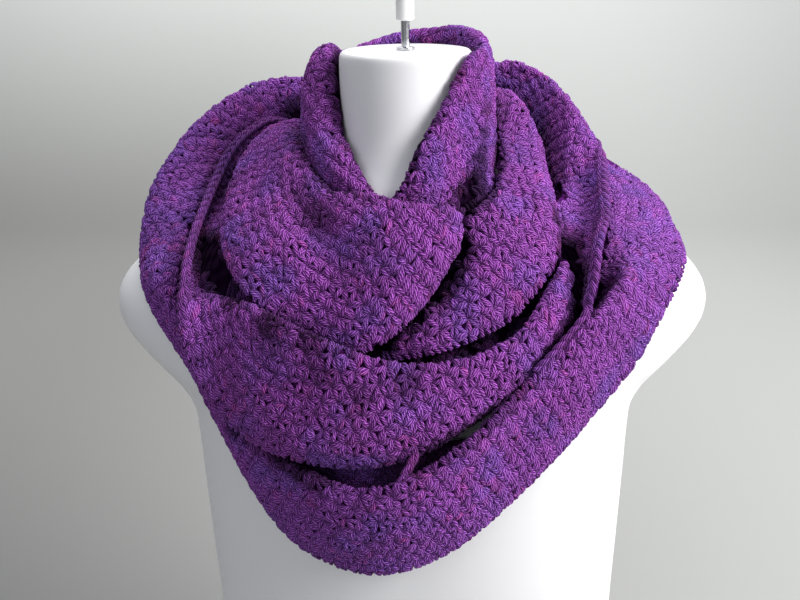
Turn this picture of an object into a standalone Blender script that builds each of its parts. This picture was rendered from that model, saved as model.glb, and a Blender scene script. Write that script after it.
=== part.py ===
"""A chunky crocheted infinity scarf wound round a limbless hanging dress form.

The scarf is one crocheted band whose ends are sewn together. It is wound round the neck in
nested stretches, and each stretch that shows is one solid here: the collar against the neck,
the front cowl, the right-hand roll, the front drape, the shoulder stretch and the outer loop.

Frame: +Z up, the wearer's front looks along -Y, the origin is the middle of the form's flat
base. Each stretch is a wall through the fold lines of a section table. A section stands at a
turn about the neck: 0 degrees is the front, +90 is +X, 180 is the back.
"""

import math

import bmesh
import bpy
import numpy as np
from mathutils import Matrix, Vector

MM = 0.001
GAP = 0.3  # mm between pieces that touch
FORM_CLEARANCE = 0.9  # mm between the cloth's wall and the form's skin, at the nearest

# Dress form, mm. Heights are measured down from the top of the neck.
NECK_TOP = 620.0
FORM_SEGMENTS = 64
FORM_COLUMNS = ("height", "half_width", "front", "back", "squareness")
FORM_SECTIONS = (
    (-620, 166, 90, 80, 2.2),
    (-612, 168, 92, 82, 2.2),
    (-560, 166, 92, 82, 2.2),
    (-500, 160, 90, 79, 2.2),
    (-440, 161, 94, 79, 2.2),
    (-380, 163, 98, 80, 2.2),
    (-320, 165, 101, 83, 2.2),
    (-280, 166, 101, 85, 2.25),
    (-256, 168, 100, 86, 2.35),
    (-236, 177, 98, 87, 2.5),
    (-218, 193, 95, 87, 2.6),
    (-202, 207, 92, 87, 2.6),
    (-188, 215, 90, 87, 2.6),
    (-174, 217, 86, 85, 2.6),
    (-160, 212, 82, 82, 2.5),
    (-146, 198, 78, 79, 2.4),
    (-130, 168, 73, 75, 2.2),
    (-114, 128, 68, 69, 2.1),
    (-98, 88, 63, 62, 2.0),
    (-84, 61, 57, 55, 2.0),
    (-70, 50, 51.5, 50, 2.0),
    (-50, 46.5, 47.5, 46.5, 2.0),
    (-14, 46.5, 46.5, 46.5, 2.0),
    (-3, 46, 46, 46, 2.0),
    (0, 44, 44, 44, 2.0),
)
FORM = dict(zip(FORM_COLUMNS, np.array(FORM_SECTIONS, float).T))

# Hanger hardware on the neck, mm.
SOCKET_RADIUS = 6.5
SOCKET_HEIGHT = 2.0
ROD_DIAMETER = 6.0
SLEEVE_DIAMETER = 12.6
SLEEVE_BOTTOM = 20.0
SLEEVE_TOP = 58.0
HOOK_RADIUS = 19.0
HOOK_NECK = 66.0  # height where the straight rod turns into the hook
HOOK_TURN = 215.0  # degrees of arc in the hook

# Scarf, mm and degrees.
CLOTH = 5.0  # the crocheted cloth is this thick
WRAP_TURN = 2.6  # the whole scarf is wound this far round from the form's front
STEPS_ALONG = 2  # wall columns from one section to the next
STEPS_ACROSS = 3  # wall rows from one fold line to the next
# A free end turned under: how far onward and outward each added section stands.
COWL_TUCK = ((3, -4), (1, -8), (-7, -9))
DRAPE_TUCK = ((3, -2), (3, -5))

# The five fold lines of a stretch, from the neck side to its outer edge.
FOLDS = ("inner", "lip", "crest", "belly", "hem")
SECTION_COLUMNS = (
    "inner_turn", "hem_turn",
    "inner_radius", "inner_height", "lip_radius", "lip_height", "crest_radius", "crest_height",
    "belly_radius", "belly_height", "hem_radius", "hem_height",
)
COLLAR = (
    (-180, -180, 50, -40, 50, -10, 53, 5, 64, -7, 60, -48),
    (-155, -155, 50, -41, 50, -18, 55, -1, 68, -12, 63, -50),
    (-130, -130, 50, -47, 50, -26, 56, -8, 69, -12, 67, -51),
    (-108, -108, 50, -55, 50, -28, 55, 0, 69, -10, 70, -54),
    (-90, -90, 51, -64, 50, -34, 54, -11, 69, -21, 73, -60),
    (-74, -74, 53, -75, 50, -46, 53, -36, 67, -38, 72, -70),
    (-60, -60, 55, -84, 52, -60, 54, -54, 67, -56, 71, -80),
    (-45, -45, 59, -92, 56, -70, 58, -63, 67, -70, 70, -89),
    (-30, -30, 62, -99, 60, -86, 62, -79, 68, -86, 70, -99),
    (-15, -15, 64, -104, 62, -99, 65, -93, 71, -98, 72, -107),
    (-2, -2, 62, -98, 60, -88, 62, -82, 68, -97, 71, -108),
    (10, 10, 57, -82, 54.5, -65, 58, -57, 66, -89, 72, -107),
    (22, 22, 53, -61, 51, -50, 56, -42, 62, -82, 73, -104),
    (36, 36, 50, -38, 50, -30, 54, -23, 59, -68, 73, -99),
    (52, 52, 50, -26, 50, -15, 54, -6, 59, -50, 69, -91),
    (70, 70, 50, -24, 50, -11, 54, -2, 59, -38, 62, -82),
    (90, 90, 50, -28, 50, -11, 54, -1, 59, -18, 60, -72),
    (112, 112, 50, -46, 50, -6, 54, 6, 60, -1, 58, -59),
    (135, 135, 50, -43, 50, -6, 55, 9.5, 63, 0, 58, -52),
    (158, 158, 50, -41, 50, -9, 55, 7, 65, -3, 59, -49),
)
COWL = (
    (-179.7, -179.7, 68, -70, 69, -54, 74, -48, 82, -58, 84, -90),
    (-175, -175, 68, -70, 69, -54, 74, -48, 82, -58, 84, -90),
    (-152, -152, 70, -70, 72, -56, 79, -50, 90, -60, 92, -90),
    (-130, -130, 75, -74, 77, -63, 87, -56, 103, -67, 104, -89),
    (-112, -112, 79, -80, 81, -68, 98, -57, 120, -69, 115, -92),
    (-98, -95, 82, -84, 81, -74, 88, -60, 123, -82, 121, -96),
    (-84, -79, 82, -88, 79, -78, 82, -68, 123, -96, 131, -106),
    (-70, -66, 80, -93, 79, -84, 80, -76, 121, -103, 138, -123),
    (-56, -52, 81, -98, 78, -92, 79, -84, 118, -110, 140, -141),
    (-42, -40.5, 83, -106, 80, -99, 79, -90, 113, -119, 133, -157),
    (-28, -30, 81, -112, 79, -99, 78, -87, 111, -128, 128, -169),
    (-14, -18, 81, -116, 79, -100, 81, -87, 112, -131, 125, -177),
    (0, -6, 82, -114, 81, -102, 86, -89, 114, -128, 118, -165),
    (12, 4, 84, -104, 85, -98, 90, -91, 111, -121, 109, -147),
    (19, 11, 86, -102, 87, -97, 92, -92, 106, -115, 103, -132),
    (24, 15, 88, -103, 89, -99, 93, -96, 103, -110, 100, -122),
)
ROLL = (
    (-180.3, -180.3, 68, -70, 69, -54, 74, -48, 82, -58, 84, -90),
    (-185, -185, 68, -70, 69, -54, 74, -48, 82, -58, 84, -90),
    (-205, -205, 68, -68, 70, -48, 77, -41, 87, -50, 88, -83),
    (-225, -225, 67, -69, 71, -46, 81, -38, 92, -41, 96, -77),
    (-242, -242, 68, -75, 70, -50, 76, -43, 92, -39, 102, -73),
    (-256, -256, 69, -80, 67, -60, 71, -52, 89, -51, 101, -74),
    (-268, -268, 70, -84, 66, -71, 67, -62, 89, -66, 98, -82),
    (-280, -280, 72, -88, 67, -79, 69, -70, 92, -76, 101, -92),
    (-292, -295, 76, -93, 72, -85, 73, -77, 99, -86, 110, -101),
    (-306, -307, 80, -99, 78, -94, 79, -87, 108, -103, 124, -126),
    (-320, -317, 82, -106, 81, -100, 83, -95, 112, -118, 126, -140),
    (-333, -328, 83, -117, 81, -112, 83, -107, 114, -138, 125, -158),
    (-348, -340, 86, -149, 89, -147, 97, -146, 117, -157, 123, -168),
    (-361, -352, 92, -158, 97, -158, 106, -161, 116, -170, 120, -176),
    (-374, -370, 94, -172, 98, -173, 103, -176, 108, -181, 112, -186),
)
DRAPE = (
    (-179.7, -179.7, 92, -78, 93, -56, 99, -45, 108, -72, 111, -116),
    (-175, -175, 92, -78, 93, -56, 99, -45, 108, -72, 111, -116),
    (-150, -150, 99, -80, 101, -62, 106, -52, 112, -67, 117, -84),
    (-128, -128, 113, -98, 114, -84, 117, -74, 122, -69, 129, -61),
    (-110, -110, 122, -103, 123, -94, 128, -85, 132, -77, 136, -71),
    (-96, -96, 122, -107, 131, -110, 137, -107, 141, -100, 142, -92),
    (-84, -78, 128, -112, 139, -117, 147, -121, 152, -120, 152, -113),
    (-74, -67, 131, -120, 143, -130, 151, -139, 158, -143, 164, -131),
    (-67, -62, 131, -129, 144, -144, 153, -151, 163, -154, 170, -144),
    (-61, -59, 129, -141, 143, -156, 156, -150, 168, -152, 176, -162),
    (-55, -57, 127, -153, 138, -160, 150, -152, 168, -168, 177, -185),
    (-47, -52, 127, -167, 135, -162, 145, -153, 162, -192, 165, -224),
    (-38, -42, 129, -182, 135, -168, 142, -158, 156, -212, 154, -243),
    (-29, -30, 130, -194, 135, -175, 139, -165, 151, -223, 144, -250),
    (-14, -14, 126, -204, 131, -186, 135, -177, 146, -227, 138, -250),
    (2, 2, 104, -188, 124, -193, 132, -183, 141, -220, 133, -242),
    (18, 18, 98, -178, 124, -189, 134, -179, 141, -205, 132, -222),
    (32, 32, 102, -165, 125, -180, 137, -166, 143, -188, 133, -206),
    (43, 42, 112, -148, 126, -160, 135, -145, 143, -167, 139, -186),
    (50.5, 49, 121, -141, 128, -145, 133, -131, 140, -149, 141, -166),
)
SHOULDER = (
    (-180.3, -180.3, 92, -78, 93, -56, 99, -45, 108, -72, 111, -116),
    (-185, -185, 92, -78, 93, -56, 99, -45, 108, -72, 111, -116),
    (-202, -202, 98, -76, 98, -50, 101, -34, 110, -50, 116, -102),
    (-220, -220, 108, -80, 108, -50, 118, -26, 125, -28, 130, -88),
    (-236, -236, 113, -88, 113, -62, 124, -38, 131, -34, 141, -80),
    (-250, -250, 112, -96, 113, -78, 124, -55, 133, -50, 148, -76),
    (-262, -262, 109, -102, 111, -92, 122, -75, 134, -72, 142, -76),
    (-272, -272, 110, -103, 112, -98, 122, -94, 133, -92, 139, -85),
    (-282, -282, 109, -101, 112, -101, 122, -104, 133, -105, 139, -95),
    (-292, -292, 106, -105, 116, -111, 127, -117, 136, -119, 144, -108),
    (-301, -304, 112, -116, 122, -127, 133, -137, 143, -137, 150, -119),
    (-304, -309.5, 114, -122, 126, -139, 138, -154, 148, -155, 155, -140),
    (-305, -311.5, 131, -152, 137, -161, 143, -164, 149, -160, 155, -149),
)
OUTER = (
    (-180, -180, 118, -84, 120, -60, 130, -48, 142, -96, 136, -152),
    (-155, -155, 126, -86, 126, -56, 134, -38, 149, -85, 140, -146),
    (-132, -132, 136, -96, 137, -66, 154, -35, 168, -78, 161, -137),
    (-114, -114, 142, -104, 145, -82, 171, -58, 185, -80, 183, -136),
    (-98, -98, 151, -114, 152, -102, 178, -95, 193, -102, 196, -138),
    (-84, -84, 157, -123, 162, -121, 183, -127, 193, -137, 195, -143),
    (-72, -72, 163, -142, 168, -139, 184, -142, 190, -156, 188, -168),
    (-62, -62, 156, -188, 163, -181, 172, -177, 169, -206, 161, -222),
    (-52, -52, 140, -214, 143, -262, 153, -243, 151, -268, 144, -288),
    (-40, -40, 124, -228, 129, -264, 147, -254, 146, -293, 136, -321),
    (-26, -26, 116, -238, 124, -284, 146, -261, 145, -306, 131, -335),
    (-12, -12, 113, -246, 123, -298, 149, -263, 142, -310, 126, -340),
    (2, 2, 112, -248, 123, -300, 150, -248, 140, -302, 124, -333),
    (16, 16, 114, -246, 123, -290, 147, -225, 141, -281, 125, -317),
    (30, 30, 121, -242, 127, -268, 145, -197, 144, -257, 131, -291),
    (44, 44, 132, -205, 141, -198, 159, -167, 156, -227, 142, -262),
    (56, 56, 146, -162, 157, -157, 168, -143, 171, -187, 159, -228),
    (62, 62, 139, -134, 152, -140, 170, -138, 178, -171, 175, -200),
    (68, 68, 142, -126, 152, -129, 171, -135, 184, -152, 187, -168),
    (80, 80, 136, -112, 148, -117, 173, -126, 192, -137, 198, -144),
    (92, 92, 136, -112, 147, -112, 179, -119, 194, -129, 200, -142),
    (106, 106, 138, -104, 148, -105, 184, -112, 195, -117, 195, -139),
    (124, 124, 151, -104, 152, -88, 178, -94, 186, -100, 176, -138),
    (142, 142, 137, -96, 139, -72, 153, -62, 166, -93, 157, -142),
    (158, 158, 125, -88, 127, -64, 136, -52, 151, -92, 143, -146),
)

# name, table, closed ring, how the free end is turned under
STRETCHES = (
    ("scarf_collar", COLLAR, True, ()),
    ("scarf_cowl", COWL, False, COWL_TUCK),
    ("scarf_roll", ROLL, False, ()),
    ("scarf_drape", DRAPE, False, DRAPE_TUCK),
    ("scarf_shoulder", SHOULDER, False, ()),
    ("scarf_outer_loop", OUTER, True, ()),
)

# Colours are linear RGB with alpha.
YARN = (0.13, 0.022, 0.19, 1.0)
FORM_WHITE = (0.80, 0.80, 0.81, 1.0)
CHROME = (0.75, 0.76, 0.78, 1.0)
SLEEVE_WHITE = (0.85, 0.85, 0.84, 1.0)


def clear_scene():
    for obj in list(bpy.data.objects):
        bpy.data.objects.remove(obj)


def material(name, colour, roughness, metallic=0.0):
    made = bpy.data.materials.new(name)
    made.use_nodes = True
    shader = made.node_tree.nodes["Principled BSDF"]
    shader.inputs["Base Color"].default_value = colour
    shader.inputs["Roughness"].default_value = roughness
    shader.inputs["Metallic"].default_value = metallic
    return made


def add_mesh(name, points_mm, faces, finish):
    mesh = bpy.data.meshes.new(name)
    mesh.from_pydata([Vector(point) * MM for point in points_mm], [], faces)
    mesh.update()
    mesh.shade_smooth()
    mesh.set_sharp_from_angle(angle=math.radians(50))
    mesh.materials.append(finish)
    obj = bpy.data.objects.new(name, mesh)
    bpy.context.scene.collection.objects.link(obj)
    return obj


# ---- dress form


def form_section(height):
    """half width, front depth, back depth and squareness of the form at a height."""
    return [float(np.interp(height, FORM["height"], FORM[name])) for name in FORM_COLUMNS[1:]]


def form_radius(turn, height):
    """Distance from the neck axis to the form's skin, turn in radians."""
    if height > 0:
        return 0.0
    half_width, front, back, squareness = form_section(height)
    sine, cosine = math.sin(turn), math.cos(turn)
    depth = front if cosine > 0 else back
    sides = abs(sine / half_width) ** squareness + abs(cosine / depth) ** squareness
    return sides ** (-1 / squareness)


def build_form(finish):
    points, faces = [], []
    for height, *_ in FORM_SECTIONS:
        for k in range(FORM_SEGMENTS):
            turn = 2 * math.pi * k / FORM_SEGMENTS
            radius = form_radius(turn, height)
            points.append((radius * math.sin(turn), -radius * math.cos(turn), NECK_TOP + height))
    rings = len(FORM_SECTIONS)
    for i in range(rings - 1):
        for k in range(FORM_SEGMENTS):
            a, b = i * FORM_SEGMENTS + k, i * FORM_SEGMENTS + (k + 1) % FORM_SEGMENTS
            faces.append((a, b, b + FORM_SEGMENTS, a + FORM_SEGMENTS))
    faces.append(tuple(reversed(range(FORM_SEGMENTS))))
    faces.append(tuple(range((rings - 1) * FORM_SEGMENTS, rings * FORM_SEGMENTS)))
    return add_mesh("form_body", points, faces, finish)


# ---- hanger hardware


def add_tube(name, inner, outer, bottom, top, finish):
    """An upright tube on the neck axis, or a disc where inner is 0. Heights above the neck top."""
    mesh = bpy.data.meshes.new(name)
    work = bmesh.new()
    z0, z1 = (NECK_TOP + bottom) * MM, (NECK_TOP + top) * MM
    edge = min(1.0, (top - bottom) / 4) * MM
    profile = [(inner, z0), (outer, z0), (outer, z1), (inner, z1)]
    verts = [work.verts.new((x * MM, 0.0, z)) for x, z in profile]
    edges = [work.edges.new((verts[k], verts[(k + 1) % 4])) for k in range(4 if inner else 3)]
    bmesh.ops.spin(work, geom=verts + edges, axis=(0, 0, 1), cent=(0, 0, 0), angle=2 * math.pi,
                   steps=32, use_merge=True)
    bmesh.ops.remove_doubles(work, verts=work.verts, dist=1e-6)
    bmesh.ops.recalc_face_normals(work, faces=work.faces)
    work.to_mesh(mesh)
    work.free()
    mesh.shade_smooth()
    mesh.set_sharp_from_angle(angle=math.radians(40))
    mesh.materials.append(finish)
    obj = bpy.data.objects.new(name, mesh)
    bpy.context.scene.collection.objects.link(obj)
    bevel = obj.modifiers.new("rounded edges", "BEVEL")
    bevel.width = edge
    bevel.segments = 2
    bevel.limit_method = "ANGLE"
    bevel.angle_limit = math.radians(40)
    return obj


def build_hook(finish):
    """The rod rises from the socket and turns over into an open hook, as one bent rod."""
    bottom = NECK_TOP + SOCKET_HEIGHT + 2 * GAP
    bend = NECK_TOP + HOOK_NECK
    route = [(0.0, z) for z in np.linspace(bottom, bend, 5)]
    centre = (HOOK_RADIUS, bend + 6.0)
    for degrees in np.linspace(180, 180 - HOOK_TURN, 22):
        angle = math.radians(degrees)
        route.append((centre[0] + HOOK_RADIUS * math.cos(angle), centre[1] + HOOK_RADIUS * math.sin(angle)))
    curve = bpy.data.curves.new("hook_rod", "CURVE")
    curve.dimensions = "3D"
    curve.bevel_depth = ROD_DIAMETER / 2 * MM
    curve.bevel_resolution = 3
    curve.use_fill_caps = True
    path = curve.splines.new("POLY")
    path.points.add(len(route) - 1)
    for point, (x, z) in zip(path.points, route):
        point.co = (x * MM, 0.0, z * MM, 1.0)
    path.use_smooth = True
    curve.materials.append(finish)
    obj = bpy.data.objects.new("hook_rod", curve)
    bpy.context.scene.collection.objects.link(obj)
    return obj


# ---- scarf


def spline(points, places):
    """Points read from a smooth curve through the given points, at places counted in points."""
    read = []
    last = len(points) - 2
    for place in places:
        i = int(min(max(math.floor(place), 0), last))
        s = place - i
        b, c = points[i], points[i + 1]
        a = points[i - 1] if i > 0 else 2 * b - c
        d = points[i + 2] if i < last else 2 * c - b
        read.append(0.5 * (2 * b + (c - a) * s + (2 * a - 5 * b + 4 * c - d) * s * s
                           + (3 * b - 3 * c + d - a) * s ** 3))
    return np.array(read)


def fold_lines(table):
    """The fold lines as points: one row for each fold, one column for each section."""
    section = dict(zip(SECTION_COLUMNS, np.array(table, float).T))
    lines = []
    for k, fold in enumerate(FOLDS):
        lean = k / (len(FOLDS) - 1)
        turn = np.radians(section["inner_turn"] * (1 - lean) + section["hem_turn"] * lean + WRAP_TURN)
        radius, height = section[fold + "_radius"], section[fold + "_height"]
        lines.append(np.stack([radius * np.sin(turn), -radius * np.cos(turn), height], axis=-1))
    return np.array(lines)


def turned_under(lines, tuck):
    """Adds the sections that turn the free end back under the stretch."""
    end = lines[:, -1]
    onward = end - lines[:, -2]
    onward /= np.linalg.norm(onward, axis=1)[:, None]
    outward = end * (1, 1, 0)
    outward /= np.linalg.norm(outward, axis=1)[:, None]
    added = [end + onward * along + outward * out for along, out in tuck]
    return np.concatenate([lines] + [points[:, None] for points in added], axis=1)


def surface(table, closed, tuck):
    """The middle surface of a stretch as a grid of points, hem last."""
    lines = fold_lines(table)
    if tuck:
        lines = turned_under(lines, tuck)
    count = lines.shape[1]
    if closed:
        places = np.arange(0, count, 1 / STEPS_ALONG)
        wrapped = np.concatenate([lines[:, -2:], lines, lines[:, :3]], axis=1)
        along = np.array([spline(line, places + 2) for line in wrapped])
    else:
        places = np.linspace(0, count - 1, (count - 1) * STEPS_ALONG + 1)
        along = np.array([spline(line, places) for line in lines])
    across = np.linspace(0, len(FOLDS) - 1, (len(FOLDS) - 1) * STEPS_ACROSS + 1)
    return np.stack([spline(along[:, j], across) for j in range(along.shape[1])], axis=1)


def off_the_form(point, clear):
    """How far a point must move, along the form's slope, to be this far from the form."""
    x, y, height = point
    if height > 0:
        return np.zeros(3)
    turn = math.atan2(x, -y)
    slope = (form_radius(turn, min(height + 1, 0)) - form_radius(turn, height - 1)) / 2
    length = math.hypot(1, slope)
    short = clear - (math.hypot(x, y) - form_radius(turn, height)) / length
    if short <= 0:
        return np.zeros(3)
    outward = short / length
    return np.array((outward * math.sin(turn), -outward * math.cos(turn), -outward * slope))


def lifted(grid, faces):
    """Moves the grid's points until they and the middles of the faces clear the form."""
    points = grid.reshape(-1, 3).copy()
    clear = CLOTH / 2 + FORM_CLEARANCE
    for _ in range(12):
        for face in faces:
            move = off_the_form(points[list(face)].mean(axis=0), clear)
            points[list(face)] += move
        points += [off_the_form(point, clear) for point in points]
    return points


def build_stretch(name, table, closed, tuck, finish):
    grid = surface(table, closed, tuck)
    rows, columns = grid.shape[:2]
    faces = []
    for i in range(rows - 1):
        for j in range(columns if closed else columns - 1):
            k = (j + 1) % columns
            faces.append((i * columns + j, (i + 1) * columns + j, (i + 1) * columns + k, i * columns + k))
    points = lifted(grid, faces) + (0, 0, NECK_TOP)
    obj = add_mesh(name, points, faces, finish)
    wall = obj.modifiers.new("cloth wall", "SOLIDIFY")
    wall.thickness = CLOTH * MM
    wall.offset = 0.0
    return obj


def main():
    clear_scene()
    white = material("form white", FORM_WHITE, 0.55)
    chrome = material("chrome", CHROME, 0.18, 1.0)
    plastic = material("white plastic", SLEEVE_WHITE, 0.35)
    yarn = material("purple yarn", YARN, 0.95)
    build_form(white)
    add_tube("form_socket", 0.0, SOCKET_RADIUS, GAP, GAP + SOCKET_HEIGHT, chrome)
    build_hook(chrome)
    add_tube("hook_sleeve", ROD_DIAMETER / 2 + GAP, SLEEVE_DIAMETER / 2, SLEEVE_BOTTOM, SLEEVE_TOP, plastic)
    for name, table, closed, tuck in STRETCHES:
        build_stretch(name, table, closed, tuck, yarn)


main()
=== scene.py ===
"""The looks of a purple crocheted infinity scarf on a white hanging dress form.

Each stretch of the scarf is a thin shell, the crochet's ground, on the form of its solid. Over it
the crochet is laid as plied yarn: bars and legs that meet in the holes of a staggered lattice.
Sizes are in millimetres, but the stage's are in metres. Heights run down from the top of the neck,
and turns are degrees about the neck's axis: 0 is the front, +90 is +X, 180 is the back.
"""

import math

import bpy
import numpy as np
from mathutils import Matrix, Vector
from mathutils.bvhtree import BVHTree


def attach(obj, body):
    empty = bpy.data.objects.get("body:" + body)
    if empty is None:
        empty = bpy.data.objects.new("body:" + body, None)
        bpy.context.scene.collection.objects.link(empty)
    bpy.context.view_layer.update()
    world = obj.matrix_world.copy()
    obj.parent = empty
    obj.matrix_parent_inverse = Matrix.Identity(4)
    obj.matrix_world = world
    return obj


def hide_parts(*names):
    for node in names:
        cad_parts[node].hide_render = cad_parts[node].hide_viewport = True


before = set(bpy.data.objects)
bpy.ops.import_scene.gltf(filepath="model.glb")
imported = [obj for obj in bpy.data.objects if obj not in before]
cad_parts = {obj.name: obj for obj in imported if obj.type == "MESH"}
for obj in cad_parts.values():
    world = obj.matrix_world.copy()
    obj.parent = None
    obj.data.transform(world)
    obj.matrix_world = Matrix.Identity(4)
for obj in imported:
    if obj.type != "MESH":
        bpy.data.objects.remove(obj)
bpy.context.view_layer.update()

MM = 0.001
NECK_TOP = 620.0
WRAP_TURN = 2.6  # the scarf is wound this far round from the form's front
RNG = np.random.default_rng(1633)


def named_rows(columns, table):
    """A table's rows, each with its values by name."""
    return [dict(zip(columns, row)) for row in table]


def named_columns(columns, table):
    """A table's columns by name, as arrays."""
    return dict(zip(columns, np.array(table, float).T))


# ---- the dress form, as in its solid

FORM_COLUMNS = ("height", "half_width", "front", "back", "squareness")
FORM_SECTIONS = (
    (-620, 166, 90, 80, 2.2),
    (-612, 168, 92, 82, 2.2),
    (-560, 166, 92, 82, 2.2),
    (-500, 160, 90, 79, 2.2),
    (-440, 161, 94, 79, 2.2),
    (-380, 163, 98, 80, 2.2),
    (-320, 165, 101, 83, 2.2),
    (-280, 166, 101, 85, 2.25),
    (-256, 168, 100, 86, 2.35),
    (-236, 177, 98, 87, 2.5),
    (-218, 193, 95, 87, 2.6),
    (-202, 207, 92, 87, 2.6),
    (-188, 215, 90, 87, 2.6),
    (-174, 217, 86, 85, 2.6),
    (-160, 212, 82, 82, 2.5),
    (-146, 198, 78, 79, 2.4),
    (-130, 168, 73, 75, 2.2),
    (-114, 128, 68, 69, 2.1),
    (-98, 88, 63, 62, 2.0),
    (-84, 61, 57, 55, 2.0),
    (-70, 50, 51.5, 50, 2.0),
    (-50, 46.5, 47.5, 46.5, 2.0),
    (-14, 46.5, 46.5, 46.5, 2.0),
    (-3, 46, 46, 46, 2.0),
    (0, 44, 44, 44, 2.0),
)
FORM = named_columns(FORM_COLUMNS, FORM_SECTIONS)
FORM_SEGMENTS = 144  # points round the skin
FORM_STEPS = 4  # rings from one section to the next

# ---- the scarf's stretches, as in their solids

FOLDS = ("inner", "lip", "crest", "belly", "hem")
SECTION_COLUMNS = (
    "inner_turn", "hem_turn",
    "inner_radius", "inner_height", "lip_radius", "lip_height", "crest_radius", "crest_height",
    "belly_radius", "belly_height", "hem_radius", "hem_height",
)
# At the back the cowl runs on as the roll, and the drape as the shoulder. A section's values there,
# after its two turns.
COWL_AT_BACK = (68, -70, 69, -54, 74, -48, 82, -58, 84, -90)
DRAPE_AT_BACK = (92, -78, 93, -56, 99, -45, 108, -72, 111, -116)
COLLAR = (
    (-180, -180, 50, -40, 50, -10, 53, 5, 64, -7, 60, -48),
    (-155, -155, 50, -41, 50, -18, 55, -1, 68, -12, 63, -50),
    (-130, -130, 50, -47, 50, -26, 56, -8, 69, -12, 67, -51),
    (-108, -108, 50, -55, 50, -28, 55, 0, 69, -10, 70, -54),
    (-90, -90, 51, -64, 50, -34, 54, -11, 69, -21, 73, -60),
    (-74, -74, 53, -75, 50, -46, 53, -36, 67, -38, 72, -70),
    (-60, -60, 55, -84, 52, -60, 54, -54, 67, -56, 71, -80),
    (-45, -45, 59, -92, 56, -70, 58, -63, 67, -70, 70, -89),
    (-30, -30, 62, -99, 60, -86, 62, -79, 68, -86, 70, -99),
    (-15, -15, 64, -104, 62, -99, 65, -93, 71, -98, 72, -107),
    (-2, -2, 62, -98, 60, -88, 62, -82, 68, -97, 71, -108),
    (10, 10, 57, -82, 54.5, -65, 58, -57, 66, -89, 72, -107),
    (22, 22, 53, -61, 51, -50, 56, -42, 62, -82, 73, -104),
    (36, 36, 50, -38, 50, -30, 54, -23, 59, -68, 73, -99),
    (52, 52, 50, -26, 50, -15, 54, -6, 59, -50, 69, -91),
    (70, 70, 50, -24, 50, -11, 54, -2, 59, -38, 62, -82),
    (90, 90, 50, -28, 50, -11, 54, -1, 59, -18, 60, -72),
    (112, 112, 50, -46, 50, -6, 54, 6, 60, -1, 58, -59),
    (135, 135, 50, -43, 50, -6, 55, 9.5, 63, 0, 58, -52),
    (158, 158, 50, -41, 50, -9, 55, 7, 65, -3, 59, -49),
)
COWL = (
    (-179.7, -179.7) + COWL_AT_BACK,
    (-175, -175) + COWL_AT_BACK,
    (-152, -152, 70, -70, 72, -56, 79, -50, 90, -60, 92, -90),
    (-130, -130, 75, -74, 77, -63, 87, -56, 103, -67, 104, -89),
    (-112, -112, 79, -80, 81, -68, 98, -57, 120, -69, 115, -92),
    (-98, -95, 82, -84, 81, -74, 88, -60, 123, -82, 121, -96),
    (-84, -79, 82, -88, 79, -78, 82, -68, 123, -96, 131, -106),
    (-70, -66, 80, -93, 79, -84, 80, -76, 121, -103, 138, -123),
    (-56, -52, 81, -98, 78, -92, 79, -84, 118, -110, 140, -141),
    (-42, -40.5, 83, -106, 80, -99, 79, -90, 113, -119, 133, -157),
    (-28, -30, 81, -112, 79, -99, 78, -87, 111, -128, 128, -169),
    (-14, -18, 81, -116, 79, -100, 81, -87, 112, -131, 125, -177),
    (0, -6, 82, -114, 81, -102, 86, -89, 114, -128, 118, -165),
    (12, 4, 84, -104, 85, -98, 90, -91, 111, -121, 109, -147),
    (19, 11, 86, -102, 87, -97, 92, -92, 106, -115, 103, -132),
    (24, 15, 88, -103, 89, -99, 93, -96, 103, -110, 100, -122),
)
ROLL = (
    (-180.3, -180.3) + COWL_AT_BACK,
    (-185, -185) + COWL_AT_BACK,
    (-205, -205, 68, -68, 70, -48, 77, -41, 87, -50, 88, -83),
    (-225, -225, 67, -69, 71, -46, 81, -38, 92, -41, 96, -77),
    (-242, -242, 68, -75, 70, -50, 76, -43, 92, -39, 102, -73),
    (-256, -256, 69, -80, 67, -60, 71, -52, 89, -51, 101, -74),
    (-268, -268, 70, -84, 66, -71, 67, -62, 89, -66, 98, -82),
    (-280, -280, 72, -88, 67, -79, 69, -70, 92, -76, 101, -92),
    (-292, -295, 76, -93, 72, -85, 73, -77, 99, -86, 110, -101),
    (-306, -307, 80, -99, 78, -94, 79, -87, 108, -103, 124, -126),
    (-320, -317, 82, -106, 81, -100, 83, -95, 112, -118, 126, -140),
    (-333, -328, 83, -117, 81, -112, 83, -107, 114, -138, 125, -158),
    (-348, -340, 86, -149, 89, -147, 97, -146, 117, -157, 123, -168),
    (-361, -352, 92, -158, 97, -158, 106, -161, 116, -170, 120, -176),
    (-374, -370, 94, -172, 98, -173, 103, -176, 108, -181, 112, -186),
)
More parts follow.
